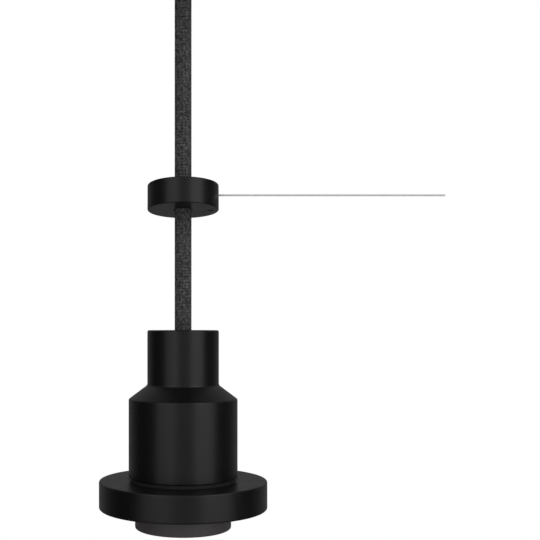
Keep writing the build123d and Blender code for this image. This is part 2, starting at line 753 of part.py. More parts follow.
# Holder cores: out of the cord's lower end and sideways into the three terminals
core_end = terminal_place + terminal_screw_radius
holder_routes = {
    "live_core": ((-core_side, -core_back), (-core_end, -core_back)),
    "neutral_core": ((core_side, -core_back), (core_end, -core_back)),
    "earth_core": ((0, core_circle), (0, earth_face)),
}
for core_name, (start, end) in holder_routes.items():
    with BuildPart() as holder_core:
        with BuildLine() as core_path:
            FilletPolyline(
                (*start, cord_bottom), (*start, core_level), (*end, core_level), radius=core_bend
            )
        with BuildSketch(Plane(origin=core_path.line @ 0, z_dir=core_path.line % 0)):
            Circle(core_radius)
        sweep()
    holder_core.part.label = core_name
    export_step(holder_core.part, "parts/" + core_name + ".step")

# Skirt: the lamp holder's moulded barrel, screwed up into the cap, with a lip at its mouth
spigot_radius = cap_thread - thread_clearance
with BuildPart() as skirt:
    with BuildSketch(Plane.XZ):
        with BuildLine():
            Polyline(
                (block_radius + pass_clearance, skirt_top), (spigot_radius, skirt_top),
                (spigot_radius, cap_bottom), (skirt_radius, cap_bottom), (skirt_radius, skirt_bottom),
                (lip_radius, skirt_bottom), (lip_radius, skirt_bottom + lip_height),
                (skirt_bore, skirt_bottom + lip_height), (skirt_bore, block_bottom),
                (block_radius + pass_clearance, block_bottom), close=True,
            )
        make_face()
    revolve(axis=Axis.Z)
    mouth = skirt.edges().filter_by(GeomType.CIRCLE).filter_by_position(Axis.Z, skirt_bottom, skirt_bottom)
    fillet(mouth, skirt_edge)
skirt.part.label = "skirt"
export_step(skirt.part, "parts/skirt.step")

# Ring washer: a thin dark washer in the gap between the cup and the shade ring, seated in the ring
seat_level = ring_top - washer_seat
with BuildPart() as ring_washer:
    with BuildSketch(Plane.XY.offset(seat_level)):
        Circle(washer_radius)
        Circle(skirt_radius + soft_clearance, mode=Mode.SUBTRACT)
    extrude(amount=body_bottom - seat_level)
ring_washer.part.label = "ring_washer"
export_step(ring_washer.part, "parts/ring_washer.step")

# Shade ring: the wide turned disc that screws up the skirt and carries a shade on its flat top.
# Under the cup its top is recessed a little for the washer.
with BuildPart() as shade_ring:
    with BuildSketch(Plane.XY.offset(ring_bottom)):
        Circle(ring_radius)
    extrude(amount=ring_thickness)
    chamfer(shade_ring.edges().filter_by(GeomType.CIRCLE), ring_chamfer)
    with BuildSketch(Plane.XY.offset(ring_bottom)):
        Circle(skirt_radius + running_clearance)
    extrude(amount=ring_thickness, mode=Mode.SUBTRACT)
    with BuildSketch(Plane.XY.offset(seat_level)):
        Circle(body_radius + soft_clearance)
    extrude(amount=washer_seat, mode=Mode.SUBTRACT)
shade_ring.part.label = "shade_ring"
export_step(shade_ring.part, "parts/shade_ring.step")
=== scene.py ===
import json
import math

import bmesh
import bpy
from mathutils import Matrix, Vector


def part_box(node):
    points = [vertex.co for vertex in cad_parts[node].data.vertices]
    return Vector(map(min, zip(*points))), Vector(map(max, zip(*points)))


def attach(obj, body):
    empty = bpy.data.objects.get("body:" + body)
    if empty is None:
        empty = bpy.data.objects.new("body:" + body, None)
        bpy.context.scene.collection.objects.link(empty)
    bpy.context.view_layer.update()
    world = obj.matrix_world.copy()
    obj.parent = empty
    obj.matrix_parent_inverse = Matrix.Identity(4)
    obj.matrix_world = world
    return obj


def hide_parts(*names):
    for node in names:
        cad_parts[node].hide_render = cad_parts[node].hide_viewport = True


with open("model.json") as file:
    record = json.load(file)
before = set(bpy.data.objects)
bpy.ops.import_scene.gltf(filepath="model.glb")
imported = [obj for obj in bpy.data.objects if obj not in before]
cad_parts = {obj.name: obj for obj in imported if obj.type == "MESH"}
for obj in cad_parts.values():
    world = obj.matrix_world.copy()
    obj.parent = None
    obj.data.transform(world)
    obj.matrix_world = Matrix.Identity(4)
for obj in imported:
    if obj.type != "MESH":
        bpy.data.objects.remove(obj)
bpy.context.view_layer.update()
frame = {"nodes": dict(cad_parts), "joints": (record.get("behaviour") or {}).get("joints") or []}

# Camera. The photograph looks straight at the holder from the front, from just above its neck. Its
# round edges are symmetrical, so the lens stands in front of the cord and is shifted sideways. One
# pixel of its 540 is 0.4 mm at the cord, which stands 86.9 pixels left of the middle.
MM = 0.001
PICTURE_WIDTH = 540
PIXEL = 0.4 * MM
CAMERA_DISTANCE = 0.37
AXIS_LEFT_OF_MIDDLE = 86.9
HORIZON_BELOW_MIDDLE = 56.15
HORIZON_BELOW_CLAMP = 0.0513
SENSOR = 36.0
clamp_low, clamp_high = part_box("clamp_ring")
horizon = (clamp_low.z + clamp_high.z) / 2 - HORIZON_BELOW_CLAMP
camera_data = bpy.data.cameras.new("photograph_camera")
camera_data.sensor_width = SENSOR
camera_data.lens = CAMERA_DISTANCE / PIXEL * SENSOR / PICTURE_WIDTH
camera_data.shift_x = AXIS_LEFT_OF_MIDDLE / PICTURE_WIDTH
camera_data.shift_y = HORIZON_BELOW_MIDDLE / PICTURE_WIDTH
camera_data.clip_start = 0.01
camera = bpy.data.objects.new("photograph_camera", camera_data)
camera.location = (0, -CAMERA_DISTANCE, horizon)
camera.rotation_euler = (math.radians(90), 0, 0)
bpy.context.scene.collection.objects.link(camera)
bpy.context.scene.camera = camera
bpy.context.scene.view_settings.view_transform = "Standard"


# Flex cord: three cores under a woven textile sleeve, 6.6 mm thick, pulled straight by the holder.
# Sixteen flat yarns run round it each way and pass over and under each other.
# It hangs from the ceiling gland and ends inside the holder, just below the cord grip.
OUTER_RADIUS = 3.42 * MM
YARNS = 16
YARN_LEAD = 19.2 * MM
YARN_WIDTH = 1.16 * MM
YARN_SIDE = 0.5
YARN_FLAT = 0.2
YARN_CROWN = 0.12 * MM
YARN_WEAVE = 0.09 * MM
STEPS_A_CROSSING = 2
CORE_UNDER_YARNS = 3.0 * MM
CORE_SIDES = 48
YARN_STAGGER = 13.7 * MM


def new_object(name, mesh_builder, *materials, body, slot):
    """Makes a mesh object from a bmesh, with its materials, on its body. Slot is not used."""
    data = bpy.data.meshes.new(name)
    mesh_builder.to_mesh(data)
    mesh_builder.free()
    for polygon in data.polygons:
        polygon.use_smooth = True
    for material in materials:
        data.materials.append(material)
    piece = bpy.data.objects.new(name, data)
    bpy.context.scene.collection.objects.link(piece)
    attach(piece, body)
    return piece


def new_material(name):
    """A new material, its node tree and its shader."""
    material = bpy.data.materials.new(name)
    material.use_nodes = True
    tree = material.node_tree
    shader = next(n for n in tree.nodes if n.type == "BSDF_PRINCIPLED")
    return material, tree, shader


def linked(tree, kind, inputs=None, **settings):
    """Adds a node and sets its inputs: a socket is linked, anything else is the input's value."""
    node = tree.nodes.new(kind)
    for name, value in settings.items():
        setattr(node, name, value)
    for key, value in (inputs or {}).items():
        if isinstance(value, bpy.types.NodeSocket):
            tree.links.new(value, node.inputs[key])
        else:
            node.inputs[key].default_value = value
    return node


cord_low, cord_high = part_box("flex_cord")
route_data = bpy.data.curves.new("flex_cord_route", "CURVE")
route_data.dimensions = "3D"
route = route_data.splines.new("NURBS")
route_points = [cord_high.z, (cord_high.z + cord_low.z) / 2, cord_low.z]
route.points.add(len(route_points) - 1)
for point, level in zip(route.points, route_points):
    point.co = (0, 0, level, 1)
route.order_u = 3
route.use_endpoint_u = True
route_object = bpy.data.objects.new("flex_cord_route", route_data)
bpy.context.scene.collection.objects.link(route_object)
route_mesh = bpy.data.meshes.new_from_object(route_object)
bpy.data.objects.remove(route_object)
cord_length = cord_high.z - cord_low.z


def yarn_material(name, level):
    """Matt polyester filaments, dark grey with a faint brown cast, with painted shade towards the yarn's
    sides, between the yarns.

    The yarns of one way are painted darker than those of the other, as painted shade for the light they
    catch less, so level scales their colour up for painted light or down for painted shade.
    """
    fibre_scales = (14000, 900, 1)
    patch_scale = 900.0
    fibre_relief = 0.04 * MM
    material, tree, shader = new_material(name)
    uv = linked(tree, "ShaderNodeUVMap", uv_map="yarn")
    place = linked(tree, "ShaderNodeTexCoord")
    stretched = linked(tree, "ShaderNodeMapping", {"Vector": uv.outputs["UV"], "Scale": fibre_scales})
    fibres = linked(tree, "ShaderNodeTexNoise", {
        "Vector": stretched.outputs["Vector"], "Scale": 1.0, "Detail": 3.0, "Roughness": 0.6,
    })
    patches = linked(tree, "ShaderNodeTexNoise", {
        "Vector": place.outputs["Object"], "Scale": patch_scale, "Detail": 2.0, "Roughness": 0.6,
    })
    fibre_tone = linked(tree, "ShaderNodeMapRange", {
        "Value": fibres.outputs["Fac"], "From Min": 0.3, "From Max": 0.7, "To Min": 0.7, "To Max": 1.3,
    })
    patch_tone = linked(tree, "ShaderNodeMapRange", {
        "Value": patches.outputs["Fac"], "From Min": 0.35, "From Max": 0.65, "To Min": 0.35, "To Max": 1.65,
    })
    uv_parts = linked(tree, "ShaderNodeSeparateXYZ", {"Vector": uv.outputs["UV"]})
    across = linked(tree, "ShaderNodeMath", {0: uv_parts.outputs["X"]}, operation="ABSOLUTE")
    # Painted shade: the colour darkens from the yarn's crown towards its sides, where the yarns meet.
    side_shade = linked(tree, "ShaderNodeMapRange", {
        "Value": across.outputs["Value"],
        "From Min": YARN_FLAT * YARN_WIDTH, "From Max": YARN_SIDE * YARN_WIDTH,
        "To Min": 1.15 * level, "To Max": 0.25 * level,
    })
    mottle = linked(tree, "ShaderNodeMath", {
        0: fibre_tone.outputs["Result"], 1: patch_tone.outputs["Result"],
    }, operation="MULTIPLY")
    tone = linked(tree, "ShaderNodeMath", {
        0: mottle.outputs["Value"], 1: side_shade.outputs["Result"],
    }, operation="MULTIPLY")
    tint = linked(tree, "ShaderNodeMix", {
        0: patches.outputs["Fac"], 6: (0.056, 0.0515, 0.053, 1), 7: (0.050, 0.049, 0.0495, 1),
    }, data_type="RGBA")
    shade = linked(tree, "ShaderNodeVectorMath", {
        0: tint.outputs[2], "Scale": tone.outputs["Value"],
    }, operation="SCALE")
    tree.links.new(shade.outputs["Vector"], shader.inputs["Base Color"])
    relief = linked(tree, "ShaderNodeBump", {
        "Height": fibres.outputs["Fac"], "Strength": 0.5, "Distance": fibre_relief,
    })
    tree.links.new(relief.outputs["Normal"], shader.inputs["Normal"])
    shader.inputs["Roughness"].default_value = 0.8
    shader.inputs["Specular IOR Level"].default_value = 0.25
    return material


# Lit and shaded copies of one yarn: the first is painted lighter as painted light, the second painted
# darker as painted shade.
yarn = yarn_material("woven_yarn", 1.3)
yarn_across_painted_shade = yarn_material("woven_yarn_across", 0.85)

# Under the yarns: a tube that stands for the cores, painted near black as the shade in the gaps between the
# yarns.
under_yarn_shade, tree, shader = new_material("yarn_underside_painted_shade")
shader.inputs["Base Color"].default_value = (0.012, 0.011, 0.011, 1)
shader.inputs["Roughness"].default_value = 0.9
where = linked(tree, "ShaderNodeTexCoord")
specks = linked(tree, "ShaderNodeTexNoise", {"Vector": where.outputs["Object"], "Scale": 3000.0})
speck_relief = linked(tree, "ShaderNodeBump", {"Height": specks.outputs["Fac"], "Distance": 0.03 * MM})
tree.links.new(speck_relief.outputs["Normal"], shader.inputs["Normal"])

sleeve = bmesh.new()
crossings = round(cord_length / YARN_LEAD * 2 * YARNS)
crossing_length = cord_length / crossings
lead = crossing_length * 2 * YARNS
for way in (1, -1):
    strip = bmesh.new()
    yarn_uv = strip.loops.layers.uv.new("yarn")
    start_angle = 0.0 if way > 0 else math.pi / YARNS
    profile = []
    for place_across, crown in ((-YARN_SIDE, 0), (-YARN_FLAT, 1), (YARN_FLAT, 1), (YARN_SIDE, 0)):
        angle = start_angle + place_across * YARN_WIDTH / OUTER_RADIUS
        radius = OUTER_RADIUS - YARN_WEAVE - YARN_CROWN + crown * YARN_CROWN
        profile.append(strip.verts.new((radius * math.cos(angle), radius * math.sin(angle), cord_low.z)))
    edges = [strip.edges.new(pair) for pair in zip(profile, profile[1:])]
    bmesh.ops.spin(
        strip, geom=profile + edges, cent=(0, 0, 0), axis=(0, 0, 1),
        dvec=(0, 0, crossing_length / STEPS_A_CROSSING), angle=way * 2 * math.pi * cord_length / lead,
        steps=crossings * STEPS_A_CROSSING,
    )
    for vert in strip.verts:
        crossing = (vert.co.z - cord_low.z) / crossing_length
        rise = way * YARN_WEAVE * math.sin(math.pi * crossing)
        vert.co += Vector((vert.co.x, vert.co.y, 0)).normalized() * rise
    for face in strip.faces:
        for loop in face.loops:
            along = loop.vert.co.z - cord_low.z
            angle = math.atan2(loop.vert.co.y, loop.vert.co.x) - start_angle
            off = angle - way * 2 * math.pi * along / lead
            off = (off + math.pi) % (2 * math.pi) - math.pi
            loop[yarn_uv].uv = (off * OUTER_RADIUS, along)
    for face in strip.faces:
        face.material_index = 0 if way > 0 else 1
    strip_data = bpy.data.meshes.new("yarn_strip")
    for _ in range(YARNS):
        bmesh.ops.rotate(
            strip, verts=strip.verts, cent=(0, 0, 0), matrix=Matrix.Rotation(2 * math.pi / YARNS, 3, "Z")
        )
        for face in strip.faces:
            for loop in face.loops:
                loop[yarn_uv].uv.y += YARN_STAGGER
        strip.to_mesh(strip_data)
        sleeve.from_mesh(strip_data)
    strip.free()
    bpy.data.meshes.remove(strip_data)
core_ring = bmesh.ops.create_circle(
    sleeve, segments=CORE_SIDES, radius=CORE_UNDER_YARNS, cap_ends=True,
    matrix=Matrix.Translation((0, 0, cord_low.z)),
)["verts"]
core_cap = core_ring[0].link_faces[0]
core_walls = bmesh.ops.extrude_face_region(sleeve, geom=[core_cap])["geom"]
bmesh.ops.translate(
    sleeve, verts=[v for v in core_walls if isinstance(v, bmesh.types.BMVert)], vec=(0, 0, cord_length)
)
core_verts = set(core_ring) | {v for v in core_walls if isinstance(v, bmesh.types.BMVert)}
# The core tube's faces take the near black painted shade.
for face in sleeve.faces:
    if all(v in core_verts for v in face.verts):
        face.material_index = 2
bmesh.ops.recalc_face_normals(sleeve, faces=sleeve.faces)
flex_cord = new_object(
    "flex_cord_sleeve", sleeve, yarn, yarn_across_painted_shade, under_yarn_shade, body="holder", slot="braid"
)
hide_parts("flex_cord")


# Suspension wire: a thin stranded steel wire rope, six wires laid round one, 0.8 mm thick.
# It is clamped in the cord clamp and stands straight out of its side. Its far end is cut off bare.
WIRE_RADIUS = 0.4 * MM
WIRE_LAY = 7.0 * MM
STRAND_RADIUS = WIRE_RADIUS / 3
LAID_STRANDS = 6
STRAND_SIDES = 8
WIRE_STEPS = 420
STREAK_SCALES = (300, 4000, 4000)

wire_low, wire_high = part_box("suspension_wire")
wire_level = (wire_low.z + wire_high.z) / 2
wire_side = (wire_low.y + wire_high.y) / 2
wire_length = wire_high.x - wire_low.x

wire_steel, tree, shader = new_material("bright_steel_wire")
shader.inputs["Base Color"].default_value = (0.80, 0.80, 0.81, 1)
shader.inputs["Metallic"].default_value = 0.35
where = linked(tree, "ShaderNodeTexCoord")
drawn_out = linked(tree, "ShaderNodeMapping", {"Vector": where.outputs["Object"], "Scale": STREAK_SCALES})
streaks = linked(tree, "ShaderNodeTexNoise", {
    "Vector": drawn_out.outputs["Vector"], "Scale": 1.0, "Detail": 2.0,
})
wire_gloss = linked(tree, "ShaderNodeMapRange", {
    "Value": streaks.outputs["Fac"], "To Min": 0.32, "To Max": 0.55,
})
tree.links.new(wire_gloss.outputs["Result"], shader.inputs["Roughness"])

rope = bmesh.new()
for strand in range(LAID_STRANDS + 1):
    laid = strand < LAID_STRANDS
    turns = wire_length / WIRE_LAY if laid else 0.0
    steps = WIRE_STEPS if laid else 1
    angle = 2 * math.pi * strand / LAID_STRANDS
    offset = 2 * STRAND_RADIUS if laid else 0.0
    sideways = wire_side + offset * math.cos(angle)
    upwards = wire_level + offset * math.sin(angle)
    turned_to_x = Matrix.Translation((wire_low.x, sideways, upwards)) @ Matrix.Rotation(math.pi / 2, 4, "Y")
    single = bmesh.new()
    ends = bmesh.ops.create_circle(
        single, segments=STRAND_SIDES, radius=STRAND_RADIUS, matrix=turned_to_x
    )["verts"]
    spun = bmesh.ops.spin(
        single, geom=ends + single.edges[:], cent=(0, wire_side, wire_level), axis=(1, 0, 0),
        dvec=(wire_length / steps, 0, 0), angle=2 * math.pi * turns, steps=steps,
    )
    last = [v for v in spun["geom_last"] if isinstance(v, bmesh.types.BMVert)]
    bmesh.ops.contextual_create(single, geom=last)
    bmesh.ops.contextual_create(single, geom=ends)
    bmesh.ops.recalc_face_normals(single, faces=single.faces)
    single_data = bpy.data.meshes.new("wire_strand")
    single.to_mesh(single_data)
    single.free()
    rope.from_mesh(single_data)
    bpy.data.meshes.remove(single_data)
suspension_wire = new_object("suspension_wire_rope", rope, wire_steel, body="clamp", slot="wire_steel")
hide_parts("suspension_wire")


# Holder cup: neck, shoulder and body turned from one bar of aluminium and anodised satin black.
# Its head is bored for the cord, and its edges are broken with small radii that catch the light.
def turned(profile, rounds, steps=160):
    """Spins a closed outline of radii and levels round Z. Rounds gives a corner's width and segments.

    A narrow strip beside each round keeps the shading of the long wall straight up to it. It ends 1.3
    widths of the round from the corner, and a wall too short for two of them has none.
    """
    strip_end = 1.3
    both_ends = 2.2
    shape = bmesh.new()
    corners = [shape.verts.new((radius, 0, level)) for radius, level in profile]
    outline = []
    for index, corner in enumerate(corners):
        reach = strip_end * rounds[index][0] if index in rounds else 0
        beside = []
        for neighbour in (corners[index - 1], corners[(index + 1) % len(corners)]):
            way = neighbour.co - corner.co
            fits = 0 < both_ends * reach < way.length
            beside.append([shape.verts.new(corner.co + way.normalized() * reach)] if fits else [])
        outline += beside[0] + [corner] + beside[1]
    for first, second in zip(outline, outline[1:] + outline[:1]):
        shape.edges.new((first, second))
    for index, (width, segments) in rounds.items():
        bmesh.ops.bevel(
            shape, geom=[corners[index]], offset=width, offset_type="OFFSET", segments=segments,
            profile=0.5, affect="VERTICES", material=-1,
        )
    bmesh.ops.spin(
        shape, geom=shape.verts[:] + shape.edges[:], cent=(0, 0, 0), axis=(0, 0, 1),
        angle=2 * math.pi, steps=steps, use_merge=True,
    )
    bmesh.ops.remove_doubles(shape, verts=shape.verts, dist=0.001 * MM)
    bmesh.ops.recalc_face_normals(shape, faces=shape.faces)
    return shape


def sharpen(piece):
    """Keeps the piece's real corners crisp and its round walls smooth."""
    least_corner = math.radians(28)
    piece.data.set_sharp_from_angle(angle=least_corner)


def satin_grain():
    """A node group for blasted and anodised faces: cloudy patches and a fine grain."""
    group = bpy.data.node_groups.new("satin_grain", "ShaderNodeTree")
    for name in ("Grain Scale", "Cloud Scale"):
        group.interface.new_socket(name=name, in_out="INPUT", socket_type="NodeSocketFloat")
    for name in ("Clouds", "Grain"):
        group.interface.new_socket(name=name, in_out="OUTPUT", socket_type="NodeSocketFloat")
    source = group.nodes.new("NodeGroupInput")
    sink = group.nodes.new("NodeGroupOutput")
    where = linked(group, "ShaderNodeTexCoord").outputs["Object"]
    clouds = linked(group, "ShaderNodeTexNoise", {
        "Vector": where, "Scale": source.outputs["Cloud Scale"], "Detail": 4.0, "Roughness": 0.6,
    })
    grain = linked(group, "ShaderNodeTexNoise", {
        "Vector": where, "Scale": source.outputs["Grain Scale"], "Detail": 1.0,
    })
    group.links.new(clouds.outputs["Fac"], sink.inputs["Clouds"])
    group.links.new(grain.outputs["Fac"], sink.inputs["Grain"])
    return group


grain_group = satin_grain()


def coated(name, colour, gloss, grain_depth, cloud_scale=160.0, grain_scale=9000.0, metallic=0.0,
           tone_spread=0.06):
    """A solid finish with the satin grain in its gloss, tone and relief."""
    gloss_spread = 0.04
    material, tree, shader = new_material(name)
    grain = linked(tree, "ShaderNodeGroup", node_tree=grain_group)
    grain.inputs["Grain Scale"].default_value = grain_scale
    grain.inputs["Cloud Scale"].default_value = cloud_scale
    gloss_map = linked(tree, "ShaderNodeMapRange", {
        "Value": grain.outputs["Clouds"], "From Min": 0.3, "From Max": 0.7,
        "To Min": gloss - gloss_spread, "To Max": gloss + gloss_spread,
    })
    tree.links.new(gloss_map.outputs["Result"], shader.inputs["Roughness"])
    tone_map = linked(tree, "ShaderNodeMapRange", {
        "Value": grain.outputs["Clouds"], "From Min": 0.3, "From Max": 0.7,
        "To Min": 1 - tone_spread, "To Max": 1 + tone_spread,
    })
    shade = linked(tree, "ShaderNodeVectorMath", {
        0: colour, "Scale": tone_map.outputs["Result"],
    }, operation="SCALE")
    tree.links.new(shade.outputs["Vector"], shader.inputs["Base Color"])
    relief = linked(tree, "ShaderNodeBump", {
        "Height": grain.outputs["Grain"], "Strength": 1.0, "Distance": grain_depth,
    })
    tree.links.new(relief.outputs["Normal"], shader.inputs["Normal"])
    shader.inputs["Metallic"].default_value = metallic
    return material


nodes = frame["nodes"]


def finish(material, *names):
    """Gives the CAD pieces named the finish of the real ones."""
    for name in names:
        nodes[name].data.materials.clear()
        nodes[name].data.materials.append(material)


black_anodised = coated("black_anodised_aluminium", (0.0021, 0.0021, 0.0022), 0.335, 0.0012 * MM)

cup_low, cup_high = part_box("holder_cup")
NECK_RADIUS = 14.3 * MM
NECK_LENGTH = 21.9 * MM
SHOULDER_HEIGHT = 5.6 * MM
NECK_BORE = 11.8 * MM
BODY_WALL = 2.0 * MM
HEAD_THICKNESS = 8.0 * MM
CORD_HOLE = 3.5 * MM
NIPPLE_HOLE = 5.1 * MM
CORD_WEB = 2.5 * MM
neck_top = cup_high.z
shoulder_top = neck_top - NECK_LENGTH
shoulder_bottom = shoulder_top - SHOULDER_HEIGHT
body_radius = cup_high.x
body_bottom = cup_low.z
cup = turned(
    [
        (CORD_HOLE, neck_top), (NECK_RADIUS, neck_top), (NECK_RADIUS, shoulder_top),
        (body_radius, shoulder_bottom), (body_radius, body_bottom),
        (body_radius - BODY_WALL, body_bottom), (body_radius - BODY_WALL, shoulder_bottom - BODY_WALL / 2),
        (NECK_BORE, shoulder_top - BODY_WALL / 2), (NECK_BORE, neck_top - HEAD_THICKNESS),
        (NIPPLE_HOLE, neck_top - HEAD_THICKNESS), (NIPPLE_HOLE, neck_top - CORD_WEB),
        (CORD_HOLE, neck_top - CORD_WEB),
    ],
    {0: (0.25 * MM, 2), 1: (0.7 * MM, 5), 2: (0.6 * MM, 4), 3: (0.35 * MM, 3), 4: (0.4 * MM, 3),
     5: (0.3 * MM, 1)},
)
holder_cup = new_object("holder_cup_turned", cup, black_anodised, body="holder", slot="black_aluminium")
sharpen(holder_cup)
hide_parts("holder_cup")


# Shade ring: a wide ring turned and anodised like the cup, screwed up the skirt's thread, its top
# recessed a little for the washer. It carries a shade. Ring washer: black rubber, in the gap above.
ring_low, ring_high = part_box("shade_ring")
RING_BORE = 19.28 * MM
RECESS_RADIUS = 22.05 * MM
RECESS_DEPTH = 0.2 * MM
ring = turned(
    [
        (RING_BORE, ring_high.z - RECESS_DEPTH), (RECESS_RADIUS, ring_high.z - RECESS_DEPTH),
        (RECESS_RADIUS, ring_high.z), (ring_high.x, ring_high.z), (ring_high.x, ring_low.z),
        (RING_BORE, ring_low.z),
    ],
    {3: (0.6 * MM, 3), 4: (0.6 * MM, 3), 0: (0.1 * MM, 1), 5: (0.3 * MM, 1)}, steps=200,
)
shade_ring = new_object(
    "shade_ring_turned", ring, black_anodised, body="shade_ring", slot="black_aluminium"
)
sharpen(shade_ring)
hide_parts("shade_ring")

black_rubber = coated("black_rubber", (0.012, 0.012, 0.012), 0.7, 0.004 * MM, grain_scale=4000.0)
finish(black_rubber, "ring_washer")


# Skirt: the lamp holder's barrel, moulded in dark brown thermoset with a fine matt skin.
# It screws up into the cap, its mouth has a lip round the lamp, and the shade ring's thread is cut
# round its upper part, two millimetres a turn.
def thread(shape, radius, low, high, pitch, depth, run_out):
    """Presses a round thread inwards into the wall of that radius between two levels."""
    tolerance = 0.02 * MM
    for vert in shape.verts:
        across = Vector((vert.co.x, vert.co.y, 0))
        if abs(across.length - radius) < tolerance and low < vert.co.z < high:
            turn = math.atan2(vert.co.y, vert.co.x) / (2 * math.pi)
            wave = 0.5 + 0.5 * math.cos(2 * math.pi * (vert.co.z / pitch - turn))
            fade = min(1.0, (vert.co.z - low) / run_out, (high - vert.co.z) / run_out)
            vert.co -= across.normalized() * depth * wave * fade
    bmesh.ops.recalc_face_normals(shape, faces=shape.faces)


def wall(radius, start, end, step):
    """Points of an outline up or down a straight wall, close enough for a thread."""
    count = max(1, round(abs(end - start) / step))
    return [(radius, start + (end - start) * i / count) for i in range(count + 1)]


skirt_low, skirt_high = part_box("skirt")
block_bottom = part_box("contact_block")[0].z
cap_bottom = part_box("holder_cap")[0].z
SKIRT_BORE = 14.8 * MM
LIP_RADIUS = 14.1 * MM
LIP_HEIGHT = 3.0 * MM
BLOCK_BORE = 16.4 * MM
SPIGOT_RADIUS = 17.6 * MM
RING_THREAD_PITCH = 2.0 * MM
RING_THREAD_DEPTH = 0.6 * MM
RING_THREAD_STEPS = 8
THREAD_BELOW_CAP = 1.5 * MM
THREAD_IN_RING = 2.5 * MM
brown_thermoset = coated(
    "brown_thermoset", (0.0580, 0.0508, 0.0536), 0.52, 0.006 * MM, cloud_scale=420.0,
    grain_scale=5200.0, tone_spread=0.08,
)
thread_top = cap_bottom - THREAD_BELOW_CAP
thread_bottom = ring_low.z + THREAD_IN_RING
mouth = [
    (skirt_high.x, skirt_low.z), (LIP_RADIUS, skirt_low.z), (LIP_RADIUS, skirt_low.z + LIP_HEIGHT),
    (SKIRT_BORE, skirt_low.z + LIP_HEIGHT), (SKIRT_BORE, block_bottom), (BLOCK_BORE, block_bottom),
    (BLOCK_BORE, skirt_high.z), (SPIGOT_RADIUS, skirt_high.z), (SPIGOT_RADIUS, cap_bottom),
    (skirt_high.x, cap_bottom),
]
threaded_wall = wall(skirt_high.x, thread_top, thread_bottom, RING_THREAD_PITCH / RING_THREAD_STEPS)
skirt = turned(mouth + threaded_wall, {0: (0.8 * MM, 5), 1: (0.8 * MM, 4), 9: (0.3 * MM, 2)}, steps=144)
thread(
    skirt, skirt_high.x, thread_bottom, thread_top, RING_THREAD_PITCH, RING_THREAD_DEPTH,
    RING_THREAD_PITCH,
)
skirt_piece = new_object("skirt_moulded", skirt, brown_thermoset, body="holder", slot="brown_plastic")
sharpen(skirt_piece)
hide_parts("skirt")


# Screw shell: drawn from thin brass sheet, its lamp thread rolled in, its tapered floor riveted under
# the contact block. The floor has one wide hole for the centre contact.
shell_low, shell_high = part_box("screw_shell")
SHELL_WALL = 0.4 * MM
SHELL_FLOOR_HOLE = 6.0 * MM
SHELL_FLOOR_RADIUS = 11.2 * MM
SHELL_TAPER = 4.5 * MM
LAMP_THREAD_PITCH = 3.629 * MM
LAMP_THREAD_DEPTH = 1.1 * MM
LAMP_THREAD_STEPS = 14
LAMP_THREAD_MARGIN = 0.7 * MM
brass = coated(
    "drawn_brass", (0.60, 0.42, 0.17), 0.3, 0.002 * MM, metallic=1.0, tone_spread=0.12,
    grain_scale=4000.0,
)
outer = shell_high.x
bore = outer - SHELL_WALL
taper_bottom = shell_high.z - SHELL_WALL - SHELL_TAPER
wall_step = LAMP_THREAD_PITCH / LAMP_THREAD_STEPS
shell = turned(
    [(SHELL_FLOOR_HOLE, shell_high.z), (SHELL_FLOOR_RADIUS + SHELL_WALL, shell_high.z)]
    + wall(outer, taper_bottom, shell_low.z, wall_step)
    + wall(bore, shell_low.z, taper_bottom, wall_step)
    + [(SHELL_FLOOR_RADIUS, shell_high.z - SHELL_WALL), (SHELL_FLOOR_HOLE, shell_high.z - SHELL_WALL)],
    {1: (0.8 * MM, 3)}, steps=128,
)
for radius in (outer, bore):
    thread(
        shell, radius, shell_low.z + LAMP_THREAD_MARGIN, taper_bottom - LAMP_THREAD_MARGIN,
        LAMP_THREAD_PITCH, LAMP_THREAD_DEPTH, LAMP_THREAD_PITCH / 2,
    )
screw_shell = new_object("screw_shell_rolled", shell, brass, body="holder", slot="brass")
sharpen(screw_shell)
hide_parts("screw_shell")


# Cord clamp: a small turned disc of the same black aluminium that leans a little on its nylon bush.
# The wire goes into a hole in its side and is held by a tiny grub screw from below. The sizes below
# run along its leaning axis from the middle of the bush's flange.
CLAMP_BOTTOM = -3.3606 * MM
CLAMP_WEB_TOP = -1.3606 * MM
CLAMP_TOP = 6.8394 * MM
CLAMP_RADIUS = 14.25 * MM
CLAMP_HOLE = 3.77 * MM
COUNTERBORE = 5.9 * MM
WIRE_HOLE = 0.7 * MM
WIRE_SEAT = 7.2 * MM
WIRE_RISE = 1.1 * MM
GRUB_HOLE = 1.1 * MM
GRUB_PLACE = 11.0 * MM
DRILL_SIDES = 28
clamp_turn = next(joint for joint in frame["joints"] if joint["name"] == "clamp_turn")
lean = Vector((0, 0, 1)).rotation_difference(Vector(clamp_turn["axis"]))
leaned = Matrix.Translation(clamp_turn["pos_m"]) @ lean.to_matrix().to_4x4()
clamp = turned(
    [
        (CLAMP_HOLE, CLAMP_BOTTOM), (CLAMP_RADIUS, CLAMP_BOTTOM), (CLAMP_RADIUS, CLAMP_TOP),
        (COUNTERBORE, CLAMP_TOP), (COUNTERBORE, CLAMP_WEB_TOP), (CLAMP_HOLE, CLAMP_WEB_TOP),
    ],
    {0: (0.2 * MM, 1), 1: (0.4 * MM, 3), 2: (0.4 * MM, 3), 3: (0.2 * MM, 1)}, steps=144,
)
clamp_ring = new_object("clamp_ring_turned", clamp, black_anodised, body="clamp", slot="black_aluminium")
wire_height = (CLAMP_BOTTOM + CLAMP_TOP) / 2 + WIRE_RISE
sideways = Matrix.Rotation(math.pi / 2, 4, "Y")
upwards = Matrix.Identity(4)
grub_start = 2 * CLAMP_BOTTOM
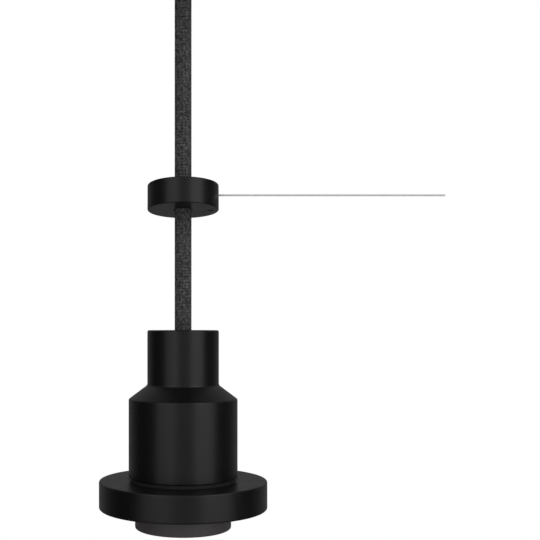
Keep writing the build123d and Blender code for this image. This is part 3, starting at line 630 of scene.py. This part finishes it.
for drill_name, radius, start, turn, depth in (
    ("wire_drill", WIRE_HOLE, (WIRE_SEAT, 0, wire_height), sideways, CLAMP_RADIUS),
    ("grub_drill", GRUB_HOLE, (GRUB_PLACE, 0, grub_start), upwards, wire_height - grub_start),
):
    drill = bmesh.new()
    bmesh.ops.create_cone(
        drill, cap_ends=True, segments=DRILL_SIDES, radius1=radius, radius2=radius, depth=depth,
        matrix=Matrix.Translation(start) @ turn @ Matrix.Translation((0, 0, depth / 2)),
    )
    drill_data = bpy.data.meshes.new(drill_name)
    drill.to_mesh(drill_data)
    drill.free()
    drill_object = bpy.data.objects.new(drill_name, drill_data)
    bpy.context.scene.collection.objects.link(drill_object)
    cut = clamp_ring.modifiers.new(drill_name, "BOOLEAN")
    cut.operation = "DIFFERENCE"
    cut.solver = "EXACT"
    cut.object = drill_object
    bpy.context.view_layer.update()
    evaluated = clamp_ring.evaluated_get(bpy.context.evaluated_depsgraph_get())
    drilled = bpy.data.meshes.new_from_object(evaluated)
    clamp_ring.modifiers.remove(cut)
    clamp_ring.data = drilled
    bpy.data.objects.remove(drill_object)
clamp_ring.data.transform(leaned)
sharpen(clamp_ring)
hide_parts("clamp_ring")

black_nylon = coated("black_nylon", (0.0035, 0.0035, 0.0038), 0.6, 0.005 * MM, grain_scale=3000.0)
spring_steel = coated("spring_steel", (0.36, 0.36, 0.38), 0.3, 0.002 * MM, metallic=1.0)
bright_steel = coated("bright_steel", (0.80, 0.80, 0.80), 0.5, 0.003 * MM, metallic=1.0)
finish(black_nylon, "clamp_bush")
finish(spring_steel, "bush_clip")
finish(bright_steel, "wire_screw")


# Contacts: a cream thermoset block with brass terminals, rivets and strips in its pockets, their
# zinc plated screws, and the sprung brass contact that the lamp presses.
cream_thermoset = coated("cream_thermoset", (0.62, 0.58, 0.50), 0.4, 0.005 * MM, grain_scale=3000.0)
zinc_steel = coated(
    "zinc_plated_steel", (0.42, 0.42, 0.44), 0.36, 0.003 * MM, metallic=1.0, tone_spread=0.1
)
finish(cream_thermoset, "contact_block")
finish(brass, "live_terminal", "neutral_terminal", "earth_terminal")
finish(brass, "shell_rivets", "live_strip", "centre_contact")
finish(zinc_steel, "terminal_screws", "earth_screw")
finish(spring_steel, "contact_spring")


# Holder's head: the zinc plated cap hangs on a threaded nipple and its nut, and a white nylon grip
# with one screw holds the cord. Three sheathed cores run from the cord to the terminals.
nylon = coated("white_nylon", (0.60, 0.59, 0.56), 0.45, 0.005 * MM, grain_scale=3000.0)
brown_sheath = coated("brown_core_sheath", (0.09, 0.035, 0.016), 0.42, 0.004 * MM, grain_scale=3000.0)
blue_sheath = coated("blue_core_sheath", (0.02, 0.10, 0.40), 0.42, 0.004 * MM, grain_scale=3000.0)
earth_sheath = coated("green_core_sheath", (0.10, 0.33, 0.04), 0.42, 0.004 * MM, grain_scale=3000.0)
finish(zinc_steel, "holder_cap", "nipple", "nipple_nut", "grip_screw")
finish(nylon, "cord_grip")
finish(brown_sheath, "live_core")
finish(blue_sheath, "neutral_core")
finish(earth_sheath, "earth_core")


# Ceiling fitting: a black painted cover with its gland, screwed to a zinc plated bar, and inside it
# the nylon terminal strip where the cord's cores meet the house's wires.
black_paint = coated("satin_black_paint", (0.0055, 0.0055, 0.0057), 0.42, 0.004 * MM, grain_scale=5000.0)
finish(black_paint, "ceiling_cover", "ceiling_gland")
finish(zinc_steel, "mounting_bar", "cover_screws", "gland_nut", "strip_screws")
finish(nylon, "gland_screw", "terminal_strip")
finish(brown_sheath, "supply_live")
finish(blue_sheath, "supply_neutral")
finish(earth_sheath, "supply_earth")


# Studio: a ground that is white to the camera. Its soft light comes more from the right, and in the
# gloss it is dark grey, with more light from behind, overhead and ahead, as in the photograph, where
# the black parts mirror an unlit room.
WHITE = (1, 1, 1, 1)
GREY_ALL_ROUND = 0.026
GREY_BEHIND = 0.15
ADDED_OVERHEAD = 0.11
ADDED_AHEAD = 0.28
DIFFUSE_LEFT = 0.40
DIFFUSE_RIGHT = 0.82
world = bpy.data.worlds.new("studio")
bpy.context.scene.world = world
world.use_nodes = True
tree = world.node_tree
tree.nodes.clear()
output = linked(tree, "ShaderNodeOutputWorld")
light_path = linked(tree, "ShaderNodeLightPath")
direction = linked(tree, "ShaderNodeTexCoord")
towards = linked(tree, "ShaderNodeSeparateXYZ", {"Vector": direction.outputs["Generated"]})
behind = linked(tree, "ShaderNodeMapRange", {
    "Value": towards.outputs["Y"], "From Min": 0.25, "From Max": 0.75,
    "To Min": GREY_ALL_ROUND, "To Max": GREY_BEHIND,
})
overhead = linked(tree, "ShaderNodeMapRange", {
    "Value": towards.outputs["Z"], "From Min": 0.15, "From Max": 0.7,
    "To Min": 0.0, "To Max": ADDED_OVERHEAD,
})
ahead = linked(tree, "ShaderNodeMapRange", {
    "Value": towards.outputs["Y"], "From Min": -0.75, "From Max": -0.95,
    "To Min": 0.0, "To Max": ADDED_AHEAD,
})
walls = linked(tree, "ShaderNodeMath", {
    0: behind.outputs["Result"], 1: ahead.outputs["Result"],
}, operation="ADD")
mirrored = linked(tree, "ShaderNodeMath", {
    0: walls.outputs["Value"], 1: overhead.outputs["Result"],
}, operation="ADD")
to_the_right = linked(tree, "ShaderNodeMapRange", {
    "Value": towards.outputs["X"], "From Min": -1.0, "From Max": 1.0,
    "To Min": DIFFUSE_LEFT, "To Max": DIFFUSE_RIGHT,
})
diffuse = linked(tree, "ShaderNodeBackground", {
    "Color": WHITE, "Strength": to_the_right.outputs["Result"],
})
glossy = linked(tree, "ShaderNodeBackground", {"Color": WHITE, "Strength": mirrored.outputs["Value"]})
white = linked(tree, "ShaderNodeBackground", {"Color": WHITE, "Strength": 1.0})
in_gloss = linked(tree, "ShaderNodeMixShader", {
    0: light_path.outputs["Is Glossy Ray"], 1: diffuse.outputs[0], 2: glossy.outputs[0],
})
seen = linked(tree, "ShaderNodeMath", {
    0: light_path.outputs["Is Camera Ray"], 1: light_path.outputs["Is Transmission Ray"],
}, operation="MAXIMUM")
shown = linked(tree, "ShaderNodeMixShader", {
    0: seen.outputs["Value"], 1: in_gloss.outputs[0], 2: white.outputs[0],
})
tree.links.new(shown.outputs[0], output.inputs["Surface"])


# Soft boxes: a wall of three in front at either side, brighter towards the top and to the right. A
# side has its angle round the cord, its width and its radiance. A level has its lower and upper edge
# and its share of that radiance.
BOX_DISTANCE = 1.5
BOX_SIDES = (("left", -37, 1.12, 0.62), ("right", 46, 1.18, 0.93))
BOX_LEVELS = (("low", -1.1, -0.42, 0.60), ("middle", -0.42, 0.7, 1.0), ("high", 0.7, 1.5, 1.6))
for side, azimuth, width, radiance in BOX_SIDES:
    for level, bottom, top, share in BOX_LEVELS:
        lamp_data = bpy.data.lights.new(f"soft_box_{side}_{level}", "AREA")
        lamp_data.shape = "RECTANGLE"
        lamp_data.size = width
        lamp_data.size_y = top - bottom
        lamp_data.energy = radiance * share * math.pi * width * (top - bottom)
        lamp = bpy.data.objects.new(lamp_data.name, lamp_data)
        turn = math.radians(azimuth)
        lamp.location = (
            BOX_DISTANCE * math.sin(turn), -BOX_DISTANCE * math.cos(turn), (bottom + top) / 2
        )
        towards_cord = Vector((-lamp.location.x, -lamp.location.y, 0))
        lamp.rotation_euler = towards_cord.to_track_quat("-Z", "Y").to_euler()
        bpy.context.scene.collection.objects.link(lamp)


# Floor: a pale sheet far below the part. It is white to the camera and grey in the gloss, like the
# ground round it.
FLOOR_BELOW = 1.7
FLOOR_HALF = 2.0
GREY_FLOOR = 0.10
floor_mesh = bmesh.new()
bmesh.ops.create_grid(
    floor_mesh, x_segments=1, y_segments=1, size=FLOOR_HALF,
    matrix=Matrix.Translation((0, 0, -FLOOR_BELOW)),
)
floor_data = bpy.data.meshes.new("studio_floor")
floor_mesh.to_mesh(floor_data)
floor_mesh.free()
floor = bpy.data.objects.new("studio_floor", floor_data)
bpy.context.scene.collection.objects.link(floor)
floor_paint, tree, shader = new_material("pale_floor")
shader.inputs["Base Color"].default_value = (0.5, 0.5, 0.5, 1)
shader.inputs["Roughness"].default_value = 0.9
seen_white = linked(tree, "ShaderNodeEmission", {"Color": WHITE, "Strength": 1.0})
mirrored_grey = linked(tree, "ShaderNodeEmission", {"Color": WHITE, "Strength": GREY_FLOOR})
light_path = linked(tree, "ShaderNodeLightPath")
floor_in_gloss = linked(tree, "ShaderNodeMixShader", {
    0: light_path.outputs["Is Glossy Ray"], 1: shader.outputs[0], 2: mirrored_grey.outputs[0],
})
floor_shown = linked(tree, "ShaderNodeMixShader", {
    0: light_path.outputs["Is Camera Ray"], 1: floor_in_gloss.outputs[0], 2: seen_white.outputs[0],
})
floor_output = next(n for n in tree.nodes if n.type == "OUTPUT_MATERIAL")
tree.links.new(floor_shown.outputs[0], floor_output.inputs["Surface"])
floor_data.materials.append(floor_paint)
